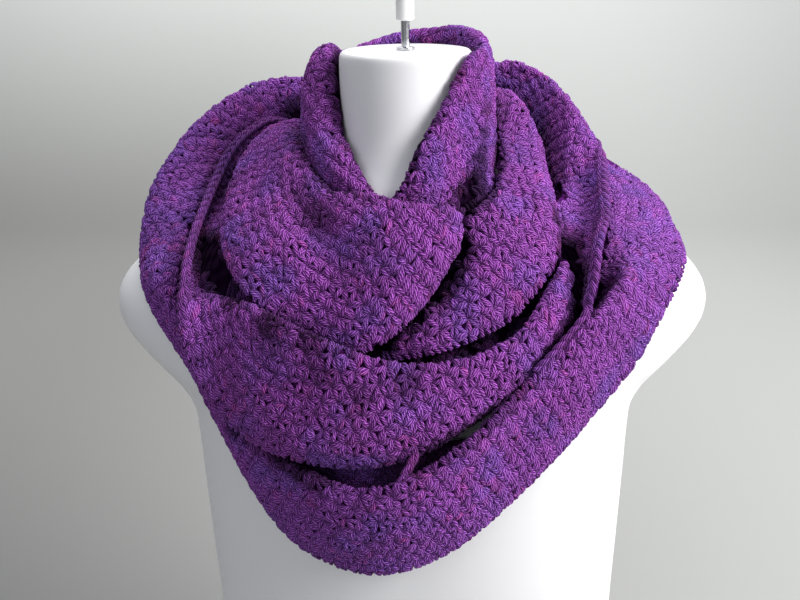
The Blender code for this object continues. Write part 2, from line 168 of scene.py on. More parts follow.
DRAPE = (
    (-179.7, -179.7) + DRAPE_AT_BACK,
    (-175, -175) + DRAPE_AT_BACK,
    (-150, -150, 99, -80, 101, -62, 106, -52, 112, -67, 117, -84),
    (-128, -128, 113, -98, 114, -84, 117, -74, 122, -69, 129, -61),
    (-110, -110, 122, -103, 123, -94, 128, -85, 132, -77, 136, -71),
    (-96, -96, 122, -107, 131, -110, 137, -107, 141, -100, 142, -92),
    (-84, -78, 128, -112, 139, -117, 147, -121, 152, -120, 152, -113),
    (-74, -67, 131, -120, 143, -130, 151, -139, 158, -143, 164, -131),
    (-67, -62, 131, -129, 144, -144, 153, -151, 163, -154, 170, -144),
    (-61, -59, 129, -141, 143, -156, 156, -150, 168, -152, 176, -162),
    (-55, -57, 127, -153, 138, -160, 150, -152, 168, -168, 177, -185),
    (-47, -52, 127, -167, 135, -162, 145, -153, 162, -192, 165, -224),
    (-38, -42, 129, -182, 135, -168, 142, -158, 156, -212, 154, -243),
    (-29, -30, 130, -194, 135, -175, 139, -165, 151, -223, 144, -250),
    (-14, -14, 126, -204, 131, -186, 135, -177, 146, -227, 138, -250),
    (2, 2, 104, -188, 124, -193, 132, -183, 141, -220, 133, -242),
    (18, 18, 98, -178, 124, -189, 134, -179, 141, -205, 132, -222),
    (32, 32, 102, -165, 125, -180, 137, -166, 143, -188, 133, -206),
    (43, 42, 112, -148, 126, -160, 135, -145, 143, -167, 139, -186),
    (50.5, 49, 121, -141, 128, -145, 133, -131, 140, -149, 141, -166),
)
SHOULDER = (
    (-180.3, -180.3) + DRAPE_AT_BACK,
    (-185, -185) + DRAPE_AT_BACK,
    (-202, -202, 98, -76, 98, -50, 101, -34, 110, -50, 116, -102),
    (-220, -220, 108, -80, 108, -50, 118, -26, 125, -28, 130, -88),
    (-236, -236, 113, -88, 113, -62, 124, -38, 131, -34, 141, -80),
    (-250, -250, 112, -96, 113, -78, 124, -55, 133, -50, 148, -76),
    (-262, -262, 109, -102, 111, -92, 122, -75, 134, -72, 142, -76),
    (-272, -272, 110, -103, 112, -98, 122, -94, 133, -92, 139, -85),
    (-282, -282, 109, -101, 112, -101, 122, -104, 133, -105, 139, -95),
    (-292, -292, 106, -105, 116, -111, 127, -117, 136, -119, 144, -108),
    (-301, -304, 112, -116, 122, -127, 133, -137, 143, -137, 150, -119),
    (-304, -309.5, 114, -122, 126, -139, 138, -154, 148, -155, 155, -140),
    (-305, -311.5, 131, -152, 137, -161, 143, -164, 149, -160, 155, -149),
)
OUTER = (
    (-180, -180, 118, -84, 120, -60, 130, -48, 142, -96, 136, -152),
    (-155, -155, 126, -86, 126, -56, 134, -38, 149, -85, 140, -146),
    (-132, -132, 136, -96, 137, -66, 154, -35, 168, -78, 161, -137),
    (-114, -114, 142, -104, 145, -82, 171, -58, 185, -80, 183, -136),
    (-98, -98, 151, -114, 152, -102, 178, -95, 193, -102, 196, -138),
    (-84, -84, 157, -123, 162, -121, 183, -127, 193, -137, 195, -143),
    (-72, -72, 163, -142, 168, -139, 184, -142, 190, -156, 188, -168),
    (-62, -62, 156, -188, 163, -181, 172, -177, 169, -206, 161, -222),
    (-52, -52, 140, -214, 143, -262, 153, -243, 151, -268, 144, -288),
    (-40, -40, 124, -228, 129, -264, 147, -254, 146, -293, 136, -321),
    (-26, -26, 116, -238, 124, -284, 146, -261, 145, -306, 131, -335),
    (-12, -12, 113, -246, 123, -298, 149, -263, 142, -310, 126, -340),
    (2, 2, 112, -248, 123, -300, 150, -248, 140, -302, 124, -333),
    (16, 16, 114, -246, 123, -290, 147, -225, 141, -281, 125, -317),
    (30, 30, 121, -242, 127, -268, 145, -197, 144, -257, 131, -291),
    (44, 44, 132, -205, 141, -198, 159, -167, 156, -227, 142, -262),
    (56, 56, 146, -162, 157, -157, 168, -143, 171, -187, 159, -228),
    (62, 62, 139, -134, 152, -140, 170, -138, 178, -171, 175, -200),
    (68, 68, 142, -126, 152, -129, 171, -135, 184, -152, 187, -168),
    (80, 80, 136, -112, 148, -117, 173, -126, 192, -137, 198, -144),
    (92, 92, 136, -112, 147, -112, 179, -119, 194, -129, 200, -142),
    (106, 106, 138, -104, 148, -105, 184, -112, 195, -117, 195, -139),
    (124, 124, 151, -104, 152, -88, 178, -94, 186, -100, 176, -138),
    (142, 142, 137, -96, 139, -72, 153, -62, 166, -93, 157, -142),
    (158, 158, 125, -88, 127, -64, 136, -52, 151, -92, 143, -146),
)
# How far onward and outward each section lies that turns a free end under.
COWL_TUCK = ((3, -4), (1, -8), (-7, -9))
DRAPE_TUCK = ((3, -2), (3, -5))

# pitch: one stitch along the row at the belly. rows_in: rows of stitches on the inner face,
# counted from the hem. flat_width and flat_length: the piece of cloth that this stretch shows.
STRETCH_COLUMNS = ("name", "table", "closed", "tuck", "pitch", "row", "rows_in",
                   "flat_width", "flat_length", "rests_on")
STRETCHES = (
    ("collar", COLLAR, True, (), 8.8, 8.8, 0, 74, 477, ("form_skin",)),
    ("cowl", COWL, False, COWL_TUCK, 9.9, 9.4, 1, 78, 416, ("form_skin", "roll")),
    ("roll", ROLL, False, (), 10.0, 9.6, 1, 57, 375, ("form_skin",)),
    ("drape", DRAPE, False, DRAPE_TUCK, 10.2, 9.4, 1, 64, 647, ("roll", "cowl")),
    ("shoulder", SHOULDER, False, (), 9.6, 9.2, 1, 68, 351, ("roll", "form_skin")),
    ("outer_loop", OUTER, True, (), 10.2, 9.4, 2, 103, 1227, ("form_skin", "drape", "shoulder")),
)

# Creases pressed into each stretch: from one place to another, a place being a section (counted
# from the first row of the table) and a fold line (0 inner to 4 hem). A ridge has a negative depth.
CREASE_COLUMNS = ("section", "fold", "to_section", "to_fold", "width", "depth")
CREASES = {
    "collar": (
        (4.6, 3.9, 6.2, 2.6, 7, 1.6),
        (13.0, 3.8, 14.2, 2.4, 9, 2.2),
        (0.8, 2.6, 2.2, 3.7, 8, 1.5),
        (17.5, 2.5, 19.2, 3.6, 8, 1.2),
    ),
    "cowl": (
        (7.2, 2.2, 10.6, 2.9, 15, 6.5),
        (6.2, 2.5, 8.6, 3.3, 11, 1.8),
        (4.8, 1.4, 9.0, 1.1, 15, -6.5),
        (9.6, 2.3, 12.6, 2.6, 9, -2.0),
        (10.4, 3.5, 13.2, 3.1, 10, 1.6),
        (2.6, 2.4, 4.4, 3.3, 12, 2.6),
        (1.2, 3.3, 3.0, 2.6, 9, 1.4),
    ),
    "roll": (
        (8.6, 2.4, 10.4, 3.1, 10, 1.9),
        (6.2, 2.3, 8.2, 3.4, 12, 1.6),
        (10.8, 3.5, 12.4, 2.9, 9, 1.5),
        (2.4, 2.5, 4.6, 3.4, 11, 2.2),
    ),
    "drape": (
        (8.4, 2.4, 11.4, 3.2, 13, 2.4),
        (12.2, 2.5, 15.0, 3.3, 12, 1.8),
        (13.0, 3.7, 16.8, 3.2, 10, -1.6),
        (16.2, 2.4, 18.0, 3.4, 9, 1.4),
        (2.6, 3.4, 4.8, 2.4, 9, 1.8),
    ),
    "shoulder": (
        (2.4, 3.15, 4.6, 3.7, 11, 2.0),
        (5.6, 2.6, 8.0, 3.3, 9, 1.4),
    ),
    "outer_loop": (
        (4.2, 2.3, 6.8, 3.3, 15, 2.4),
        (1.4, 2.6, 3.4, 3.5, 13, 2.0),
        (9.2, 3.6, 12.4, 3.1, 12, 1.8),
        (12.8, 2.5, 15.4, 3.2, 14, 2.2),
        (14.6, 3.7, 17.2, 3.3, 11, 1.6),
        (17.8, 3.1, 20.2, 3.7, 13, 2.0),
        (21.2, 2.4, 23.0, 3.4, 14, 2.6),
        (23.4, 3.5, 24.8, 2.5, 12, 1.8),
    ),
}

# Chain-stitched edges: a fold line of a stretch, between two of its sections.
CHAIN_COLUMNS = ("name", "fold", "section", "to_section", "half_width", "size", "out")
CHAINS = (
    ("drape", "hem", 1.0, 9.4, 2.5, 1.9, 1.2),
    ("shoulder", "hem", 1.0, 12.0, 2.8, 2.1, 1.3),
    ("collar", "crest", 16.6, 21.4, 2.2, 1.9, 1.4),
)
CHAIN_LIGHT = 0.7  # an edge is no darker than this
# Where the shoulder's edge runs on over the outer loop: turn, radius, height.
CHAIN_TAIL = ((47.0, 157, -157), (44.0, 155, -166), (40.0, 153, -174), (36.5, 151, -182), (33.0, 148, -190))
# A twist of yarn that hangs across the mouth of the front pocket: turn, radius, height.
BRIDGE = ((1.5, 137, -235), (0.0, 141, -243), (-2.2, 147, -251), (-4.2, 152, -260))
BRIDGE_OUT = (0.1, -0.9, 0.4)  # the side of it that shows
BRIDGE_HALF_WIDTH = 1.9
BRIDGE_SIZE = 1.8
BRIDGE_LIGHT = 0.75

# The band's inner turn, of which only glimpses show deep in the folds. It lies on the form, from
# its top down to its edge, which are at these turns and heights.
INNER_TOP = ((34, -92), (46, -90), (56, -84), (68, -84), (80, -90), (106, -92))
INNER_EDGE = (
    (-180, -134), (-155, -130), (-132, -116), (-114, -110), (-98, -110), (-84, -115), (-72, -130),
    (-62, -170), (-52, -212), (-40, -226), (-20, -234), (0, -234), (20, -230), (34, -216),
    (46, -188), (56, -170), (68, -122), (80, -112), (106, -108), (125, -110), (140, -118), (160, -130),
    (180, -134),
)
INNER_STEP = 4  # degrees from one column of its points to the next
INNER_LIFT = 1.6  # out from the form's skin
INNER_SHELL = 1.0
# painted shade: the inner turn's ground is this light all over
INNER_LIGHT = 0.35

# Painted shade for folds so deep that no light comes back from them: turn, radius, height, how far the
# painted dark reaches and how dark it is (1 is black, below 0 is painted light on cloth deep down that
# still catches light).
PAINTED_SHADE_COLUMNS = ("turn", "radius", "height", "reach", "dark")
PAINTED_SHADES = (
    (-74, 146, -124, 13, 0.75),
    (-68, 147, -134, 15, 0.85),
    (-62, 145, -146, 14, 0.75),
    (-53, 142, -151, 11, 0.60),
    (-40, 143, -158, 10, 0.50),
    (-28, 140, -165, 9, 0.50),
    (24, 88, -121, 9, 0.80),
    (17, 93, -134, 10, 0.85),
    (10, 96, -147, 10, 0.85),
    (2, 104, -161, 9, 0.80),
    (-8, 108, -175, 9, 0.70),
    (33, 72, -92, 11, 0.80),
    (42, 69, -82, 11, 0.80),
    (50, 66, -68, 9, 0.65),
    (58, 63, -54, 8, 0.50),
    (65, 62, -38, 8, 0.45),
    (61, 116, -108, 9, 0.60),
    (58, 126, -126, 12, 0.80),
    (55, 135, -140, 11, 0.85),
    (52, 140, -153, 9, 0.85),
    (40, 118, -158, 12, 0.75),
    (31, 115, -170, 12, 0.75),
    (20, 109, -179, 12, 0.75),
    (6, 109, -186, 11, 0.70),
    (-56, 92, -86, 11, 0.35),
    (-45, 94, -96, 13, 0.45),
    (-37, 98, -104, 12, 0.40),
    (-38, 146, -168, 13, 0.30),
    (-24, 144, -186, 14, 0.35),
    (-14, 144, -200, 13, 0.35),
    (-2, 138, -192, 13, 0.40),
    (-52, 157, -243, 8, 0.50),
    (-45, 157, -246, 8, 0.60),
    (-38, 149, -253, 9, 0.70),
    (-31, 145, -259, 9, 0.65),
    (-25, 147, -262, 7, 0.50),
    (-20, 120, -266, 13, -1.6),
    (-138, 132, -57, 14, 0.70),
    (-128, 104, -72, 14, 0.55),
    (150, 112, -66, 14, 0.50),
    (112, 104, -70, 12, 0.45),
)

# ---- yarn and shell

SHELL = 2.2  # the ground under the stitches is this thick
SHELL_OUT = -0.6  # its outer face, out from the solid's middle surface
FORM_CLEARANCE = 3.4  # middle surface to the form's skin
GRID_ALONG = 7  # grid columns from one section to the next
GRID_ACROSS = 7  # grid rows from one fold line to the next
BELLY_ROW = FOLDS.index("belly") * GRID_ACROSS
HEM_ROW = FOLDS.index("hem") * GRID_ACROSS

YARN_RADIUS = 1.5
YARN_FLATNESS = 0.9  # a strand's thickness by its width
YARN_STATIONS = 6  # points along a strand
YARN_RING = 5  # and round it
YARN_ARCH = math.radians(105)  # how far round its outer side a strand is built
EDGE_ARCH = math.radians(150)  # the same for the strands of a chain edge
PLY_PITCH = 1.5  # one ply's highlight to the next, along the yarn
STITCH_LOW = -0.8  # the yarn's middle where it dives into a hole
STITCH_HIGH = 1.9  # and at the top of its bulge
PAIR_SPREAD = 1.2  # half the distance between the two strands of one link
CROSSED_SHARE = 0.15  # links whose two strands cross over
CROSSED_RISE = 0.35  # how far the upper of them lies over the other
HOLE_SCATTER = 0.35  # how far a hole strays from its place
STRAND_SCATTER = 0.3  # how far a strand strays from its place
INNER_SIZE = 1.35  # a single strand stands for both on the inner face, this much thicker
HEM_CROWDING = 2.4  # strands round the hem for each stitch along it
CHAIN_LINK = 7.4  # one link of a chain edge
CHAIN_LAP = 1.55  # the length of a link's two strands, in links
PIECE_TRIANGLES = 190000  # the most in one piece of stitches

FOLD_REACH = 70.0  # how far off cloth still shades a fold
FOLD_RAYS = 16
RAY_LIFT = 3.6  # where the rays start, out from the middle surface
GOLDEN_TURN = math.radians(137.5)
FOLD_SHUT = 0.17  # the open share of the sky at which a fold is at its darkest
FOLD_OPEN = 0.75  # how much more than that is a round's
DARKEST = 0.08  # the lightness of a strand deep in a fold
TOO_DARK = 0.11  # where it is darker than this, no stitches are laid

FLECK_SIZE = 7.5  # fuchsia flecks
FLECK_CLUSTER = 46  # their clusters
STRAY_SHARE = 0.025  # single strands that are fuchsia too
CLOUD_SIZE = 19  # blue-violet clouds
SHADE_SIZE = 12  # lighter and darker places
BLUE_SIDE = 110  # past here, sideways or down, the yarn turns bluer
BLUE_LOW = 235
BLUE_REACH = 80


# ---- small tools


def scatter(size, shape):
    """Random strays of about this size, either way."""
    return size * RNG.standard_normal(shape)


def unit(vectors):
    return vectors / np.maximum(np.linalg.norm(vectors, axis=-1, keepdims=True), 1e-9)


def about_axis(angle, radius, height):
    """Points at an angle in radians about the neck's axis."""
    return np.stack([radius * np.sin(angle), -radius * np.cos(angle), height + 0 * angle], axis=-1)


def on_axis(turn, radius, height):
    """Points at a turn in degrees, counted in the scarf's own frame."""
    return about_axis(np.radians(np.asarray(turn, float) + WRAP_TURN), radius, height)


def length_along(line):
    """The distance along a line of points at each of them, or along each of many lines."""
    steps = np.linalg.norm(np.diff(line, axis=-2), axis=-1)
    return np.concatenate([0 * steps[..., :1], np.cumsum(steps, axis=-1)], axis=-1)


def curve_through(points, places):
    """Reads a smooth curve through points (first axis) at places counted in points."""
    last = len(points) - 2
    i = np.clip(np.floor(places).astype(int), 0, last)
    spread = (-1,) + (1,) * (points.ndim - 1)
    s = (places - i).reshape(spread)
    b, c = points[i], points[i + 1]
    a = np.where((i > 0).reshape(spread), points[i - 1], 2 * b - c)
    d = np.where((i < last).reshape(spread), points[np.minimum(i + 2, last + 1)], 2 * c - b)
    return 0.5 * (2 * b + (c - a) * s + (2 * a - 5 * b + 4 * c - d) * s ** 2
                  + (3 * b - 3 * c + d - a) * s ** 3)


def curve_of(points, count):
    """That many points spread over the smooth curve through points."""
    return curve_through(points, np.linspace(0, len(points) - 1, count))


def link(name, data):
    obj = bpy.data.objects.new(name, data)
    bpy.context.scene.collection.objects.link(obj)
    return obj


def quad_mesh(name, points, quads, finish):
    """A smooth mesh from arrays: points measured from the neck's top, four corners a face."""
    mesh = bpy.data.meshes.new(name)
    points = (np.asarray(points, float) + (0, 0, NECK_TOP)) * MM
    quads = np.asarray(quads, np.int32)
    mesh.vertices.add(len(points))
    mesh.vertices.foreach_set("co", points.astype(np.float32).ravel())
    mesh.loops.add(quads.size)
    mesh.loops.foreach_set("vertex_index", quads.ravel())
    mesh.polygons.add(len(quads))
    mesh.polygons.foreach_set("loop_start", np.arange(0, quads.size, 4, dtype=np.int32))
    mesh.polygons.foreach_set("use_smooth", np.ones(len(quads), bool))
    mesh.update(calc_edges=True)
    mesh.materials.append(finish)
    return link(name, mesh)


def grid_quads(rows, columns, closed):
    """Faces of a grid of points, as corner numbers."""
    i, j = np.meshgrid(np.arange(rows - 1), np.arange(columns if closed else columns - 1), indexing="ij")
    here = i * columns + j
    beside = i * columns + (j + 1) % columns
    return np.stack([here, beside, beside + columns, here + columns], axis=-1).reshape(-1, 4)


def add_uv(obj, name, per_vertex):
    layer = obj.data.uv_layers.new(name=name)
    corners = np.zeros(len(obj.data.loops), np.int32)
    obj.data.loops.foreach_get("vertex_index", corners)
    layer.data.foreach_set("uv", per_vertex.reshape(-1, 2)[corners].astype(np.float32).ravel())


def add_dye_and_shade(obj, per_vertex):
    layer = obj.data.color_attributes.new(name="dye_and_shade", type="FLOAT_COLOR", domain="POINT")
    layer.data.foreach_set("color", per_vertex.astype(np.float32).ravel())


def dye_and_shade(fuchsia, blue, light):
    """What the yarn's materials read at each point: how fuchsia, how blue-violet, and how light, the
    lightness being painted shade.
    """
    return np.stack([fuchsia + 0 * light, blue + 0 * light, light, 1 + 0 * light], axis=-1)


# ---- materials


class Nodes:
    """Short calls for a material's node tree."""

    def __init__(self, name):
        self.material = bpy.data.materials.new(name)
        self.material.use_nodes = True
        self.tree = self.material.node_tree
        self.shader = self.tree.nodes["Principled BSDF"]

    def new(self, kind, inputs=(), **settings):
        node = self.tree.nodes.new(kind)
        for key, value in settings.items():
            setattr(node, key, value)
        for key, value in dict(inputs).items():
            self.feed(node, key, value)
        return node

    def feed(self, node, key, value):
        socket = node.inputs[key]
        if isinstance(value, bpy.types.NodeSocket):
            self.tree.links.new(value, socket)
        else:
            socket.default_value = value

    def math(self, operation, *values):
        return self.new("ShaderNodeMath", enumerate(values), operation=operation).outputs[0]

    def noise(self, scale, detail=3.0):
        node = self.new("ShaderNodeTexNoise", {"Scale": scale, "Detail": detail})
        self.feed(node, "Vector", self.new("ShaderNodeTexCoord").outputs["Object"])
        return node.outputs["Fac"]

    def mix(self, factor, a, b, blend="MIX"):
        node = self.new("ShaderNodeMix", {0: factor, 6: a, 7: b}, data_type="RGBA", blend_type=blend)
        return node.outputs[2]

    def times(self, colour, shade):
        grey = self.new("ShaderNodeCombineXYZ", {0: shade, 1: shade, 2: shade}).outputs[0]
        return self.mix(1.0, colour, grey, "MULTIPLY")

    def dye_and_shade(self):
        """What dye_and_shade() wrote: how fuchsia, how blue-violet, and how light, the lightness being
        painted shade.
        """
        colour = self.new("ShaderNodeAttribute", attribute_name="dye_and_shade").outputs["Color"]
        return self.new("ShaderNodeSeparateColor", {0: colour}).outputs[:3]

    def place(self, uv_map):
        uv = self.new("ShaderNodeUVMap", uv_map=uv_map).outputs[0]
        return self.new("ShaderNodeSeparateXYZ", {0: uv}).outputs[:2]

    def bump(self, height, strength, distance, below=None):
        inputs = {"Height": height, "Strength": strength, "Distance": distance}
        if below:
            inputs["Normal"] = below
        return self.new("ShaderNodeBump", inputs).outputs[0]

    def finish(self, **values):
        for key, value in values.items():
            self.feed(self.shader, key.replace("_", " "), value)
        return self.material


PURPLE = (0.228, 0.030, 0.312, 1)
PURPLE_DEEP = (0.085, 0.008, 0.130, 1)
PURPLE_GROUND = (0.11, 0.016, 0.155, 1)
BLUE_VIOLET = (0.125, 0.055, 0.390, 1)
FUCHSIA = (0.420, 0.036, 0.290, 1)
# the painted highlight on the ply tops
LAVENDER_PAINTED_HIGHLIGHT = (0.580, 0.250, 0.720, 1)
SHEEN_TINT = (0.70, 0.34, 0.90, 1)


def yarn_material():
    """Plied fuzzy yarn. Its UV is in mm, round a strand and along it."""
    n = Nodes("purple_yarn")
    fuchsia, blue, light = n.dye_and_shade()
    around, along = n.place("yarn")
    wander = n.math("MULTIPLY", n.noise(350, 1.0), 1.1)
    slant = n.math("ADD", n.math("MULTIPLY", around, 0.85), n.math("MULTIPLY_ADD", along, 0.62, wander))
    ply = n.math("SINE", n.math("MULTIPLY", slant, 2 * math.pi / PLY_PITCH))
    ply = n.math("MULTIPLY_ADD", ply, 0.5, 0.5)
    colour = n.mix(fuchsia, PURPLE, FUCHSIA)
    colour = n.mix(blue, colour, BLUE_VIOLET)
    colour = n.mix(n.math("MULTIPLY", n.noise(260, 2.0), 0.5), colour, PURPLE_DEEP)
    # painted highlight: the ply tops turn lavender
    colour = n.mix(n.math("MULTIPLY", n.math("POWER", ply, 4.0), 0.5), colour, LAVENDER_PAINTED_HIGHLIGHT)
    # painted shade: darker in the grooves between the plies, times the painted fold shade
    shade = n.math("MULTIPLY", n.math("MULTIPLY_ADD", ply, 0.56, 0.48), light)
    fibre = n.noise(1400, 2.0)
    bump = n.bump(ply, 0.6, 0.0006)
    bump = n.bump(fibre, 0.4, 0.0004, bump)
    return n.finish(Base_Color=n.times(colour, shade), Roughness=0.85, Sheen_Weight=0.2,
                    Sheen_Roughness=0.4, Sheen_Tint=SHEEN_TINT, Specular_IOR_Level=0.06, Normal=bump)


def ground_material():
    """The crochet's ground between the stitches: the same yarn, painted in shadow. Its UV counts stitches.
    """
    n = Nodes("purple_ground")
    light = n.dye_and_shade()[2]
    stitch, row = n.place("stitch")
    across = n.math("SINE", n.math("MULTIPLY", row, math.pi))
    along = n.math("SINE", n.math("MULTIPLY", stitch, 2 * math.pi))
    lattice = n.math("MULTIPLY", across, along)
    bump = n.bump(lattice, 0.8, 0.0020)
    bump = n.bump(n.noise(900, 3.0), 0.5, 0.0006, bump)
    # painted shade: darker where the lattice dips between the stitches, and times the painted fold shade
    colour = n.mix(n.math("MULTIPLY_ADD", lattice, 0.35, 0.4), PURPLE_DEEP, PURPLE_GROUND)
    return n.finish(Base_Color=n.times(colour, n.math("MULTIPLY", light, 0.85)), Roughness=0.95,
                    Sheen_Weight=0.02, Sheen_Roughness=0.6, Sheen_Tint=SHEEN_TINT,
                    Specular_IOR_Level=0.03, Normal=bump)


def form_material():
    """Moulded white plastic with a satin skin and a faint unevenness."""
    n = Nodes("form_white")
    colour = n.mix(n.noise(9, 2.0), (0.82, 0.82, 0.85, 1), (0.88, 0.88, 0.90, 1))
    rough = n.math("MULTIPLY_ADD", n.noise(60, 3.0), 0.12, 0.36)
    bump = n.bump(n.noise(420, 3.0), 0.05, 0.0004)
    return n.finish(Base_Color=colour, Roughness=rough, Specular_IOR_Level=0.45, Normal=bump)


def chrome_material():
    n = Nodes("chrome")
    rough = n.math("MULTIPLY_ADD", n.noise(300, 4.0), 0.18, 0.12)
    bump = n.bump(n.noise(900, 2.0), 0.04, 0.0002)
    return n.finish(Base_Color=(0.62, 0.63, 0.65, 1), Metallic=1.0, Roughness=rough, Normal=bump)


def sleeve_material():
    n = Nodes("sleeve_white")
    rough = n.math("MULTIPLY_ADD", n.noise(200, 2.0), 0.15, 0.28)
    colour = n.mix(n.noise(30, 2.0), (0.80, 0.80, 0.79, 1), (0.86, 0.86, 0.86, 1))
    return n.finish(Base_Color=colour, Roughness=rough, Normal=n.bump(n.noise(500, 2.0), 0.05, 0.0002))


# ---- dress form


def outline_radius(turn, half_width, front, back, squareness):
    """Distance from the axis to a section's squared-off oval, at a turn in radians."""
    sine, cosine = np.abs(np.sin(turn)), np.cos(turn)
    depth = np.where(cosine > 0, front, back)
    total = (sine / half_width) ** squareness + (np.abs(cosine) / depth) ** squareness
    return total ** (-1 / squareness)


def form_radius(turn, height):
    """Distance from the axis to the form's skin, at a turn in radians; 0 above the neck."""
    sizes = {name: np.interp(height, FORM["height"], FORM[name]) for name in FORM_COLUMNS[1:]}
    return np.where(height > 0, 0.0, outline_radius(turn, **sizes))


def form_slope(turn, height):
    """How fast the skin widens with height."""
    return (form_radius(turn, np.minimum(height + 1, 0)) - form_radius(turn, height - 1)) / 2


def form_rings():
    """The form's skin as rings of points: its sections joined by smooth curves, closed at both ends."""
    sections = curve_of(np.array(FORM_SECTIONS, float), (len(FORM_SECTIONS) - 1) * FORM_STEPS + 1)
    height, *sizes = sections.T[:, :, None]
    turns = np.linspace(0, 2 * math.pi, FORM_SEGMENTS, endpoint=False)
    rings = about_axis(turns, outline_radius(turns, *sizes), height)
    base_middle = rings[:1] * (0.04, 0.04, 1)
    base_edge = rings[:1] * (0.985, 0.985, 1)
    top_edge = rings[-1:] * (0.55, 0.55, 1) + (0, 0, 0.25)
    top_middle = rings[-1:] * (0.04, 0.04, 1) + (0, 0, 0.28)
    return np.concatenate([base_middle, base_edge, rings, top_edge, top_middle])


def build_form(rings):
    quads = grid_quads(len(rings), FORM_SEGMENTS, True)
    skin = quad_mesh("form_skin", rings.reshape(-1, 3), quads, form_material())
    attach(skin, "root")
    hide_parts("form_body")


def dress_hook():
    """The hanger keeps its solids and takes its finishes."""
    for node, finish in (("form_socket", chrome_material()), ("hook_rod", chrome_material()),
                         ("hook_sleeve", sleeve_material())):
        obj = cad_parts[node]
        obj.data.materials.clear()
        obj.data.materials.append(finish)


# ---- cloth surfaces


class Cloth:
    """The middle surface of one stretch as a fine grid: rows from the inner fold to the hem."""

    def __init__(self, stretch):
        self.closed = stretch["closed"]
        lines = turned_under(fold_lines(stretch["table"]), stretch["tuck"])
        count = lines.shape[1]
        if self.closed:
            lines = np.concatenate([lines[:, -2:], lines, lines[:, :3]], axis=1)
            places = np.arange(0, count, 1 / GRID_ALONG) + 2
        else:
            places = np.linspace(0, count - 1, (count - 1) * GRID_ALONG + 1)
        along = curve_through(lines.transpose(1, 0, 2), places)
        self.grid = off_the_form(curve_of(along.transpose(1, 0, 2), HEM_ROW + 1))
        self.measure()
        self.crease(CREASES[stretch["name"]])
        self.measure()

    def measure(self):
        """Normals on the side that shows, and each point's distance from the hem."""
        grid = self.grid
        if self.closed:
            step = np.roll(grid, -1, axis=1) - np.roll(grid, 1, axis=1)
        else:
            step = np.gradient(grid, axis=1)
        normals = unit(np.cross(step, np.gradient(grid, axis=0)))
        outward = unit(grid[BELLY_ROW] * (1, 1, 0))
        self.normals = normals * np.sign((normals[BELLY_ROW] * outward).sum())
        self.from_hem = length_along(grid[::-1].swapaxes(0, 1)).T[::-1]

    def crease(self, creases):
        """Presses the stretch's creases in: soft troughs and ridges that die out at their ends."""
        shift = np.zeros(self.grid.shape[:2])
        t = np.linspace(0, 1, 25)
        for crease in named_rows(CREASE_COLUMNS, creases):
            u = (crease["section"] * (1 - t) + crease["to_section"] * t) * GRID_ALONG
            v = (crease["fold"] * (1 - t) + crease["to_fold"] * t) * GRID_ACROSS
            path = self.read(self.grid, u, v)
            strength = np.abs(crease["depth"]) * np.sin(math.pi * (0.08 + 0.84 * t)) ** 0.8
            away = np.linalg.norm(self.grid[:, :, None] - path, axis=-1) / crease["width"]
            shift += np.sign(crease["depth"]) * (strength * np.exp(-away ** 2)).max(axis=-1)
        self.grid = off_the_form(self.grid - self.normals * shift[..., None])

    def row_length(self, row):
        """Distance along a grid row at each column, with the closing step on a ring."""
        line = self.grid[row]
        return length_along(np.concatenate([line, line[:1]]) if self.closed else line)

    def columns_along(self, row, shares):
        """The fractional columns that lie at these shares of a grid row's length."""
        length = self.row_length(row)
        return np.interp(np.clip(shares, 0, 1) * length[-1], length, np.arange(len(length)))

    def beside(self, u):
        """The columns to the left and right of fractional column u, and how far it is past the left."""
        count = self.grid.shape[1]
        left = np.floor(u).astype(int)
        if not self.closed:
            left = np.clip(left, 0, count - 2)
        return left % count, (left + 1) % count, u - left

    def read(self, field, u, v):
        """A grid field at column u and row v, both fractional; past the hem it runs straight on."""
        left, right, a = self.beside(u)
        above = np.clip(np.floor(v).astype(int), 0, len(field) - 2)
        b = v - above
        if field.ndim == 3:
            a, b = a[..., None], b[..., None]
        return ((field[above, left] * (1 - a) + field[above, right] * a) * (1 - b)
                + (field[above + 1, left] * (1 - a) + field[above + 1, right] * a) * b)

    def at(self, u, v):
        """Positions and unit normals."""
        return self.read(self.grid, u, v), unit(self.read(self.normals, u, v))

    def at_row(self, u, row):
        """The same along one grid row, which may be fractional."""
        return self.at(u, np.full(len(u), float(row)))

    def rows_at(self, u, distance):
        """The fractional grid rows that lie at these distances from the hem, and which exist."""
        left, right, a = self.beside(u)
        profiles = (self.from_hem[:, left] * (1 - a) + self.from_hem[:, right] * a)[::-1]
        rows = np.arange(len(profiles))[::-1]
        found = [np.interp(d, profile, rows) for d, profile in zip(distance, profiles.T)]
        return np.array(found), distance < profiles[-1]

    def light(self, side, u, v):
        """How light the painted fold shade leaves the yarn on the showing side (1) or the inner one (-1).
        """
        return fold_light(self.read(self.openness[side], u, np.clip(v, 0, HEM_ROW)))


def fold_lines(table):
    """The fold lines as points: one row for each fold, one column for each section."""
    section = named_columns(SECTION_COLUMNS, table)
    lines = []
    for fold, lean in zip(FOLDS, np.linspace(0, 1, len(FOLDS))):
        turn = section["inner_turn"] * (1 - lean) + section["hem_turn"] * lean
        lines.append(on_axis(turn, section[fold + "_radius"], section[fold + "_height"]))
    return np.array(lines)


def turned_under(lines, tuck):
    """Adds the sections that turn a free end back under its stretch."""
    end = lines[:, -1]
    onward = unit(end - lines[:, -2])
    outward = unit(end * (1, 1, 0))
    added = [end + onward * along + outward * out for along, out in tuck]
    return np.concatenate([lines] + [points[:, None] for points in added], axis=1)


